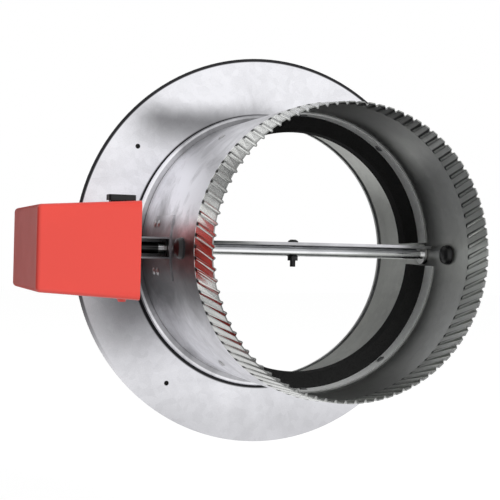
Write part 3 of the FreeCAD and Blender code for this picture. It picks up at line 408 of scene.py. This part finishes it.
def flange_zinc(settings):
    """The flange, with painted light and shade: bright above, duller below, one dark reflection band, a dark
    upper rim and a dark ring round the pipe.
    """
    sheet = ZincSheet("flange_zinc", settings)
    x, z = sheet.x, sheet.z
    stray = sheet.drift * REFLECTION_STRAY
    left_end = settings.reflection_start
    right_end = left_end + settings.reflection_length
    along = (x + stray * 2.0).between(left_end, left_end + REFLECTION_LEFT_FADE)
    along = along * (1 - (x + stray).between(right_end, REFLECTION_RIGHT_LIMIT))
    # Painted dark reflection band on the flange
    reflection_band = along * (z + stray).within([settings.reflection_height + place for place in REFLECTION_HEIGHTS])
    shade = sheet.near(BOX_SHADE_PLACE, BOX_SHADE_REACH) * x.between(*BOX_SHADE_ACROSS)
    # Painted shade round the pipe, where it meets the flange
    contact_shade = 1 - (sheet.reach - (CONTACT_SHADE_RADIUS - z * CONTACT_SHADE_LEAN)).between(*CONTACT_SHADE_FADE)
    # Painted shade along the upper part of the flange's rim
    upper_rim_shade = sheet.reach.between(*UPPER_RIM_SHADE) * z.between(*UPPER_RIM_SHADE_RISE)
    # Painted light, brighter towards the top
    tone = FLANGE_TONE
    for (low, high), gain in FLANGE_PAINTED_LIGHT_GAINS:
        tone = tone + z.between(low, high) * gain
    for mark, depth in ((reflection_band, 0.72), (shade, 0.92), (contact_shade, 0.98), (upper_rim_shade, 0.97)):
        tone = darker(tone, mark, depth)
    return sheet.done(tone)


def outer_tone(sheet, forward, crimped):
    """The tone outside the pipe: painted reflections and shade that turn with the wall, and a painted shadow
    line that follows the bead.
    """
    blotch = sheet.noise(sheet.where, 24.0, detail=5.0, roughness=0.65, distortion=1.2) - 0.5
    fine = sheet.noise(sheet.where, 260.0, roughness=0.6) - 0.5
    turn = sheet.z.angle_to(-sheet.x) / math.tau + 0.5
    # Painted reflections and shade round the pipe's outside
    plain = sheet.level(turn + sheet.drift * 0.12, OUTER_REFLECTION_TONES) * (1.08 + blotch * 1.5)
    # Painted shade on the crimps round the outside, darkest low on the left
    ridges = sheet.level(turn, CRIMP_ROUND_SHADE_TONES) * (1.02 + sheet.drift * 0.2 + fine * 0.4)
    # A painted shadow line follows the bead's foot
    return darker(plain * (1 - crimped) + ridges * crimped, forward.within(BEAD_FOOT_SHADOW), 0.95)


def inner_tone(sheet, forward, crimped):
    """The tone inside the pipe, painted light and shade: dark behind the bands, above and below, and lighter
    on the crimps.
    """
    height = sheet.z / sheet.reach
    in_front = forward.between(*BAND_FRONT)
    # Painted shade and reflections along the inner wall
    tone = sheet.level(forward / PIPE_LENGTH + sheet.drift * 0.05, INNER_SHADE_TONES)
    # Painted shade on the inner wall's roof and ground
    tone = darker(tone, height.between(*ROOF_SHADE) * in_front, 0.85)
    tone = darker(tone, (-height).between(*GROUND_SHADE) * in_front, 0.5)
    # Painted shade in the bead's groove inside the pipe
    tone = darker(tone, forward.within(BEAD_GROOVE_SHADE), 0.8)
    return tone * (1 + crimped * 0.7)


def crimp_share(sheet, forward):
    """The place within one slanted crimp, from 0 to 1 round the pipe."""
    slant = (forward - CRIMP_START) / CRIMP_LENGTH * CRIMP_SLANT
    return (sheet.z.angle_to(sheet.x) / math.tau * CRIMP_COUNT - slant).wrapped()


def pipe_zinc(settings):
    """The pipe: clouds with painted reflections and shade that turn with the wall outside, painted shade
    that makes it duller inside, warm grey on the crimps.
    """
    sheet = ZincSheet("pipe_zinc", settings)
    forward = -sheet.y
    normal = sheet.split(sheet.facing())
    outward = (normal[0] * sheet.x + normal[2] * sheet.z).between(*OUTER_SIDE)
    inward = 1 - outward
    crimped = forward.between(*CRIMP_EDGE)
    share = crimp_share(sheet, forward)
    crimp_shade = 1 - sheet.level(share, CRIMP_SHADE_TONES)
    groove = 1 - (share - GROOVE_PLACE).wrapped_distance().between(*GROOVE_REACH)
    # Painted shadow at the start of each groove
    groove_shadow = (1 - abs(forward - GROOVE_SHADOW_PLACE).between(*GROOVE_SHADOW_REACH)) * groove
    tone = outer_tone(sheet, forward, crimped) * outward + inner_tone(sheet, forward, crimped) * inward
    # Painted shade on each crimp's flanks and groove, weaker outside
    tone = darker(tone, crimped * crimp_shade, 1 - outward * 0.5)
    tone = darker(tone, groove_shadow, 0.95)
    # Painted shade along the rim, and outside on the crimps' front ends
    tone = darker(tone, forward.between(*RIM_EDGE), 0.6)
    tone = darker(tone, forward.between(*RIM_SHADE_BAND) * outward, 0.12)
    bright_lip = (1 - forward.between(*LIP_END)) * inward
    sheet.drive(Metallic=1 - bright_lip * 0.9)
    return sheet.done(tone, (crimped * 0.8).greatest(inward), crimped * outward)


def strip_zinc(settings):
    """The narrow bands: pale zinc, brushed along their length, with a bright front edge."""
    finish = Finish("bright_strip")
    where = finish.place()
    brushed = finish.streaks(where, (30.0, 1400.0, 30.0))
    spots = finish.noise(where, 160.0, detail=2.0).between(0.5, 0.7)
    colour = finish.shades(brushed * 0.2 + spots * 0.12, settings.strip_colour, 1.0, 0.8)
    front = -finish.split(finish.facing())[1]
    return finish.drive(Base_Color=colour, Roughness=0.3 + brushed * 0.15,
                        Metallic=front.between(0.3, 0.7), Normal=finish.bump(brushed, BAND_RELIEF))


def foam(settings):
    """Closed-cell foam: near black, dull, with fine open pores on its cut faces."""
    finish = Finish("black_foam", Specular_IOR_Level=0.25)
    where = finish.place()
    hollow = finish.cells(where, 900.0, "Distance").between(0.1, 0.5)
    mottle = finish.noise(where, 70.0)
    colour = finish.shades(hollow * 0.6 + mottle * 0.4, settings.foam_colour, 0.45, 1.4)
    return finish.drive(Base_Color=colour, Roughness=0.85 + mottle * 0.12,
                        Normal=finish.bump(hollow + mottle * 0.4, FOAM_RELIEF))


def drawn_bar(settings):
    """Bright drawn bar with faint lengthwise lines, near black outside the pipe."""
    finish = Finish("drawn_bar", Metallic=1.0)
    where = finish.place()
    lines = finish.streaks(where, (14.0, 1600.0, 1600.0))
    smudge = finish.noise(where, 45.0).between(0.4, 0.7)
    drawn = finish.shades(lines * 0.4 + smudge * 0.3, settings.bar_colour, 1.0, 0.72)
    dark_part = 1 - finish.split(where)[0].between(*DARK_BAR_EDGE)
    colour = finish.blend(dark_part * 0.96, drawn, rgba(settings.bar_colour, 0.01))
    return finish.drive(Base_Color=colour, Roughness=0.12 + smudge * 0.1 + lines * 0.06,
                        Normal=finish.bump(lines, BAR_RELIEF))


def fastener_metal(name, colour, base_rough):
    """Plated or plain small metal pieces with a soft turned grain and dull spots."""
    finish = Finish(name, Metallic=1.0)
    where = finish.place()
    grain = finish.noise(where, 1300.0, detail=2.0)
    spots = finish.noise(where, 240.0).between(0.45, 0.7)
    tone = finish.shades(grain * 0.35 + spots * 0.4, colour, 1.0, 0.62)
    return finish.drive(Base_Color=tone, Roughness=base_rough + spots * 0.15,
                        Normal=finish.bump(grain, FASTENER_RELIEF))


def cover_plastic(settings):
    """Red moulded plastic: satin, finely textured, with painted shade making it slightly deeper towards its
    top and bottom edges.
    """
    finish = Finish("red_moulding", IOR=1.5, Coat_Roughness=0.2)
    where = finish.place()
    grain = finish.noise(where, 1500.0, detail=2.0)
    flow = finish.noise(where, 18.0, distortion=0.4).between(0.35, 0.65)
    middle = (COVER_LOW.z + COVER_HIGH.z) / 2
    half = (COVER_HIGH.z - COVER_LOW.z) / 2
    near_edge = (abs(finish.split(where)[2] - middle) / half).between(0.78, 1.0)
    colour = finish.shades(flow * 0.35 + grain * 0.15, settings.cover_colour, 1.0, 0.88)
    # Painted shade along the cover's top and bottom edges
    edge_shaded = finish.blend(near_edge * 0.55, colour, rgba(settings.cover_edge_shade))
    return finish.drive(Base_Color=edge_shaded, Roughness=0.3 + grain * 0.12 + flow * 0.05,
                        Coat_Weight=0.15 + flow * 0.1,
                        Normal=finish.bump(grain + flow * 0.5, MOULDED_RELIEF))


def moulded(name, colour, base_rough):
    """A plain moulded plastic with a fine grain and faint flow marks."""
    finish = Finish(name, IOR=1.4)
    where = finish.place()
    grain = finish.noise(where, 1400.0, detail=2.0)
    flow = finish.noise(where, 90.0, distortion=0.5).between(0.35, 0.65)
    tone = finish.shades(flow * 0.5 + grain * 0.3, colour, 1.0, 1.5)
    return finish.drive(Base_Color=tone, Roughness=base_rough + grain * 0.12,
                        Normal=finish.bump(grain, MOULDED_RELIEF))


# Settings


class DamperSheetSettings(bpy.types.PropertyGroup):
    """Colours and marks of the zinc, the bands and the shaft, and the place of the flange's painted
    reflection band
    """

    zinc_light: FloatVectorProperty(name="Light zinc", description="Colour of the brighter zinc clouds",
                                    subtype="COLOR", size=3, min=0, max=1, default=(0.94, 0.94, 0.98))
    zinc_dark: FloatVectorProperty(name="Dark zinc", description="Colour of the darkest marks in the zinc",
                                   subtype="COLOR", size=3, min=0, max=1, default=(0.006, 0.006, 0.007))
    zinc_warm: FloatVectorProperty(name="Crimp zinc", description="Colour of the zinc on the crimps",
                                   subtype="COLOR", size=3, min=0, max=1, default=(0.91, 0.93, 0.89))
    # Place of the flange's dark band, a painted reflection
    reflection_start: FloatProperty(name="Smear start", description="Left end of the flange's dark smear",
                               unit="LENGTH", default=-0.122)
    reflection_length: FloatProperty(name="Smear length", description="Length of the flange's dark smear",
                                unit="LENGTH", default=0.085, min=0.0)
    reflection_height: FloatProperty(name="Smear height", description="Height of the flange's dark smear",
                                unit="LENGTH", default=0.104)
    strip_colour: FloatVectorProperty(name="Strip", description="Colour of the gasket bands",
                                      subtype="COLOR", size=3, min=0, max=1, default=(0.95, 0.96, 0.95))
    bar_colour: FloatVectorProperty(name="Bar", description="Colour of the cross shaft",
                                    subtype="COLOR", size=3, min=0, max=1, default=(0.84, 0.85, 0.86))
    cloud_scale: FloatProperty(name="Cloud scale", description="Zinc clouds to the metre",
                               default=14.0, min=1.0, max=100.0)
    spangle_scale: FloatProperty(name="Spangle scale", description="Zinc crystals to the metre",
                                 default=190.0, min=20.0, max=900.0)


class DamperSealSettings(bpy.types.PropertyGroup):
    """Colours of the foam and the plugs, and the painted shade dots in the flange's holes"""

    foam_colour: FloatVectorProperty(name="Foam", description="Colour of the half-ring gaskets",
                                     subtype="COLOR", size=3, min=0, max=1, default=(0.014, 0.014, 0.014))
    plug_colour: FloatVectorProperty(name="Plugs", description="Colour of the black hole plugs",
                                     subtype="COLOR", size=3, min=0, max=1, default=(0.008, 0.008, 0.009))
    hole_angle: FloatProperty(name="Hole angle", description="Angle of the first screw hole above +X",
                              subtype="ANGLE", default=math.radians(53.5))
    hole_circle: FloatProperty(name="Hole circle", description="Radius of the circle of screw holes",
                               unit="LENGTH", default=0.1303, min=0.0)
    hole_radius: FloatProperty(name="Hole radius", description="Radius of each dot",
                               unit="LENGTH", default=0.00188, min=0.0)
    hole_depth: FloatProperty(name="Hole depth", description="Height of the dots over the flange's back",
                              unit="LENGTH", default=0.0004, min=0.0)


class DamperCoverSettings(bpy.types.PropertyGroup):
    """Colours of the actuator's cover, and its painted edge shade"""

    cover_colour: FloatVectorProperty(name="Cover", description="Main red of the actuator cover",
                                      subtype="COLOR", size=3, min=0, max=1, default=(0.86, 0.072, 0.052))
    # Deeper red painted as shade along the cover's top and bottom edges
    cover_edge_shade: FloatVectorProperty(name="Cover edge", description="Deeper red along the cover's edges",
                                    subtype="COLOR", size=3, min=0, max=1, default=(0.80, 0.035, 0.022))


class DamperStudioSettings(bpy.types.PropertyGroup):
    """Camera, floor and light"""

    lens: FloatProperty(name="Lens", description="Camera lens in millimetres", default=81.0,
                        min=20.0, max=200.0)
    turn: FloatProperty(name="Turn", description="How far the view looks to the right of the pipe's axis",
                        subtype="ANGLE", default=math.radians(19.6))
    roll: FloatProperty(name="Roll", description="Tilt of the camera about its own line of sight",
                        subtype="ANGLE", default=math.radians(1.4))
    eye: FloatVectorProperty(name="Eye", description="Where the camera stands", subtype="TRANSLATION",
                             unit="LENGTH", size=3, default=(-0.3114, -0.8434, 0.0))
    floor_drop: FloatProperty(name="Floor drop", description="Floor below the flange", unit="LENGTH",
                              default=0.12, min=0.0, max=1.0)
    key_power: FloatProperty(name="Key lamp", description="Power of the main lamp in watts",
                             default=26.0, min=0.0, max=200.0)
    fill_power: FloatProperty(name="Fill lamps", description="Power of the side and the top lamp in watts",
                              default=0.3, min=0.0, max=200.0)
    sky: FloatProperty(name="Sky", description="Strength of the even light from all round",
                       default=0.25, min=0.0, max=2.0)


# Dressing


class DAMPER_OT_dress_sheet(bpy.types.Operator):
    """Zinc on the pipe, bracket, flange, blade and bands"""

    bl_idname = "damper.dress_sheet"
    bl_label = "Sheet metal"

    def execute(self, context):
        settings = context.scene.damper_sheet
        dress(["duct_pipe", "actuator_bracket"], pipe_zinc(settings))
        dress(["mounting_flange"], flange_zinc(settings))
        dress(["damper_blade"], blade_zinc(settings))
        dress(["upper_retaining_band", "lower_retaining_band"], strip_zinc(settings))
        return {"FINISHED"}


def new_piece(name, draw, material, body):
    """Make a mesh piece in the object's frame and let it ride on a body."""
    mesh = bpy.data.meshes.new(name)
    shape = bmesh.new()
    draw(shape)
    bmesh.ops.recalc_face_normals(shape, faces=shape.faces)
    shape.to_mesh(mesh)
    shape.free()
    mesh.materials.append(material)
    piece = bpy.data.objects.new(name, mesh)
    bpy.context.scene.collection.objects.link(piece)
    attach(piece, body)


class DAMPER_OT_shade_flange_holes(bpy.types.Operator):
    """Dark discs set back in the flange's four screw holes, painted shade in the holes, in the gaskets' foam
    finish
    """

    bl_idname = "damper.fill_flange_holes"
    bl_label = "Hole dots"

    def execute(self, context):
        settings = context.scene.damper_seals

        def draw_shade_dots(shape):
            for quarter in range(4):
                angle = settings.hole_angle + quarter * math.pi / 2
                middle = Vector((math.cos(angle), 0, math.sin(angle))) * settings.hole_circle
                middle.y = -settings.hole_depth
                place = Matrix.Translation(middle) @ Matrix.Rotation(math.pi / 2, 4, "X")
                bmesh.ops.create_circle(shape, cap_ends=True, segments=20, radius=settings.hole_radius,
                                        matrix=place)

        # The foam finish here is painted shade that fills each hole
        new_piece("flange_hole_shade_dots", draw_shade_dots, foam(settings), HOUSING)
        return {"FINISHED"}


class DAMPER_OT_dress_seals(bpy.types.Operator):
    """Foam on the gaskets and black plastic on the plugs, bushings and switches"""

    bl_idname = "damper.dress_seals"
    bl_label = "Seals and plugs"

    def execute(self, context):
        settings = context.scene.damper_seals
        dress(["upper_gasket", "lower_gasket"], foam(settings))
        dress(BLACK_PIECES, moulded("black_moulding", settings.plug_colour, 0.28))
        return {"FINISHED"}


class DAMPER_OT_dress_shaft(bpy.types.Operator):
    """Drawn bar on the shaft, plain metal on its bushing, rivets and fasteners"""

    bl_idname = "damper.dress_shaft"
    bl_label = "Shaft and fasteners"

    def execute(self, context):
        dress(["damper_shaft"], drawn_bar(context.scene.damper_sheet))
        dress_rows(SHAFT_METALS, fastener_metal)
        return {"FINISHED"}


class DAMPER_OT_dress_actuator(bpy.types.Operator):
    """Red moulding on the cover, and the finishes of what it hides"""

    bl_idname = "damper.dress_actuator"
    bl_label = "Actuator"

    def execute(self, context):
        dress(RED_PIECES, cover_plastic(context.scene.damper_cover))
        dress_rows(DRIVE_MOULDINGS, moulded)
        dress_rows(DRIVE_METALS, fastener_metal)
        return {"FINISHED"}


# Studio


def make_camera(settings):
    """The camera at the photograph's angle."""
    lens = bpy.data.cameras.new("photo_camera")
    lens.lens = settings.lens
    lens.sensor_width = 36.0
    camera = bpy.data.objects.new("photo_camera", lens)
    bpy.context.scene.collection.objects.link(camera)
    ahead = Vector((math.sin(settings.turn), math.cos(settings.turn), 0))
    level = Vector((math.cos(settings.turn), -math.sin(settings.turn), 0))
    up = Vector((0, 0, 1))
    across = level * math.cos(settings.roll) + up * math.sin(settings.roll)
    above = up * math.cos(settings.roll) - level * math.sin(settings.roll)
    turned = Matrix((across, above, -ahead)).transposed().to_4x4()
    camera.matrix_world = Matrix.Translation(Vector(settings.eye)) @ turned
    bpy.context.scene.camera = camera


def make_world(strength):
    """Even light of a strength from all round, seen as white."""
    world = bpy.data.worlds.new("studio_world")
    bpy.context.scene.world = world
    world.use_nodes = True
    nodes = Nodes(world.node_tree)
    background = nodes.tree.nodes["Background"]
    nodes.feed(background.inputs["Color"], (1.0, 1.0, 1.0, 1.0))
    level = nodes.add("ShaderNodeMapRange", None, nodes.seen_share(), 0.0, 1.0, strength, 1.0)
    nodes.feed(background.inputs["Strength"], level)


def make_floor(drop):
    """A pale floor that melts into the white behind it and keeps a faint shadow."""
    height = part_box("mounting_flange")[0].z - drop
    bpy.ops.mesh.primitive_plane_add(size=FLOOR_SIZE, location=(0, 0, height))
    floor = bpy.context.object
    floor.name = "studio_floor"
    finish = Finish("pale_floor", Roughness=0.8, Base_Color=(0.9, 0.9, 0.9, 1.0), Specular_IOR_Level=0.0)
    share = finish.seen_share() * FLOOR_WHITE_SHARE
    pale = Wire(finish, finish.shader.outputs[0])
    glow = finish.add("ShaderNodeEmission", None, Strength=FLOOR_GLOW)
    mixed = finish.add("ShaderNodeMixShader", None, share, pale, glow)
    finish.feed(finish.tree.nodes["Material Output"].inputs["Surface"], mixed)
    floor.data.materials.append(finish.material)


def stand(thing, place, aim):
    """Link an object, put it in its place and turn its face to a point."""
    bpy.context.scene.collection.objects.link(thing)
    thing.location = place
    thing.rotation_mode = "QUATERNION"
    thing.rotation_quaternion = (Vector(aim) - Vector(place)).to_track_quat("-Z", "Y")


def area_lamp(name, place, size, power):
    """A soft lamp aimed at the damper, which metal doesn't mirror."""
    light = bpy.data.lights.new(name, "AREA")
    light.shape = "RECTANGLE"
    light.size, light.size_y = size
    light.energy = power
    lamp = bpy.data.objects.new(name, light)
    stand(lamp, place, STUDIO_AIM)
    lamp.visible_glossy = False


def dark_card(name, place, aim, size, tone):
    """A dark studio card that only reflections see."""
    half_wide, half_high = size[0] / 2, size[1] / 2
    outline = [(-half_wide, -half_high, 0), (half_wide, -half_high, 0),
               (half_wide, half_high, 0), (-half_wide, half_high, 0)]
    mesh = bpy.data.meshes.new(name)
    mesh.from_pydata(outline, [], [(0, 1, 2, 3)])
    mesh.materials.append(Finish(name + "_felt", Roughness=1.0, Base_Color=(tone, tone, tone, 1.0)).material)
    card = bpy.data.objects.new(name, mesh)
    stand(card, place, aim)
    card.visible_camera = False
    card.visible_diffuse = False
    card.visible_shadow = False


class DAMPER_OT_set_stage(bpy.types.Operator):
    """Camera at the photograph's angle, pale floor and soft light"""

    bl_idname = "damper.set_stage"
    bl_label = "Studio"

    def execute(self, context):
        settings = context.scene.damper_studio
        context.scene.view_settings.view_transform = "Standard"
        make_camera(settings)
        make_world(settings.sky)
        make_floor(settings.floor_drop)
        area_lamp("key_lamp", place=(0.5, -1.7, 0.9), size=(0.9, 0.9), power=settings.key_power)
        area_lamp("fill_lamp", place=(-1.3, -1.4, 0.5), size=(0.7, 1.2), power=settings.fill_power)
        area_lamp("top_lamp", place=(0.1, 0.2, 1.6), size=(1.2, 0.8), power=settings.fill_power)
        dark_card("card_behind", place=(0.04, 0.6, 0), aim=(0.04, 0, 0), size=(0.94, 0.9), tone=0.1)
        dark_card("card_left", place=(-0.85, 0, 0), aim=(-0.2, -0.09, 0), size=(0.9, 0.8), tone=0.06)
        return {"FINISHED"}


# Add-on


class DAMPER_PT_panel(bpy.types.Panel):
    """Buttons for each group of pieces, with their sizes and colours"""

    bl_idname = "DAMPER_PT_panel"
    bl_label = "Zone Damper"
    bl_space_type = "VIEW_3D"
    bl_region_type = "UI"
    bl_category = "Zone Damper"

    def draw(self, context):
        layout = self.layout
        for operator in STEPS:
            layout.operator(operator.bl_idname)
        for name in SETTINGS:
            box = layout.box()
            group = getattr(context.scene, name)
            for item in group.bl_rna.properties:
                if not item.is_readonly and item.identifier != "name":
                    box.prop(group, item.identifier)


SETTINGS = {
    "damper_sheet": DamperSheetSettings,
    "damper_seals": DamperSealSettings,
    "damper_cover": DamperCoverSettings,
    "damper_studio": DamperStudioSettings,
}
STEPS = [
    DAMPER_OT_dress_sheet,
    DAMPER_OT_shade_flange_holes,
    DAMPER_OT_dress_seals,
    DAMPER_OT_dress_shaft,
    DAMPER_OT_dress_actuator,
    DAMPER_OT_set_stage,
]


def register():
    for group in SETTINGS.values():
        bpy.utils.register_class(group)
    for operator in STEPS:
        bpy.utils.register_class(operator)
    bpy.utils.register_class(DAMPER_PT_panel)
    for name, group in SETTINGS.items():
        setattr(bpy.types.Scene, name, PointerProperty(type=group))


def unregister():
    for name in SETTINGS:
        delattr(bpy.types.Scene, name)
    bpy.utils.unregister_class(DAMPER_PT_panel)
    for operator in reversed(STEPS):
        bpy.utils.unregister_class(operator)
    for group in reversed(list(SETTINGS.values())):
        bpy.utils.unregister_class(group)


def run_step(operator):
    """Call an operator through bpy.ops, and stop where it doesn't finish."""
    group, name = operator.bl_idname.split(".")
    result = getattr(getattr(bpy.ops, group), name)()
    if result != {"FINISHED"}:
        raise RuntimeError(operator.bl_label + " didn't finish")


def main():
    register()
    for operator in STEPS:
        run_step(operator)
    bpy.context.view_layer.update()


if __name__ == "__main__":
    main()
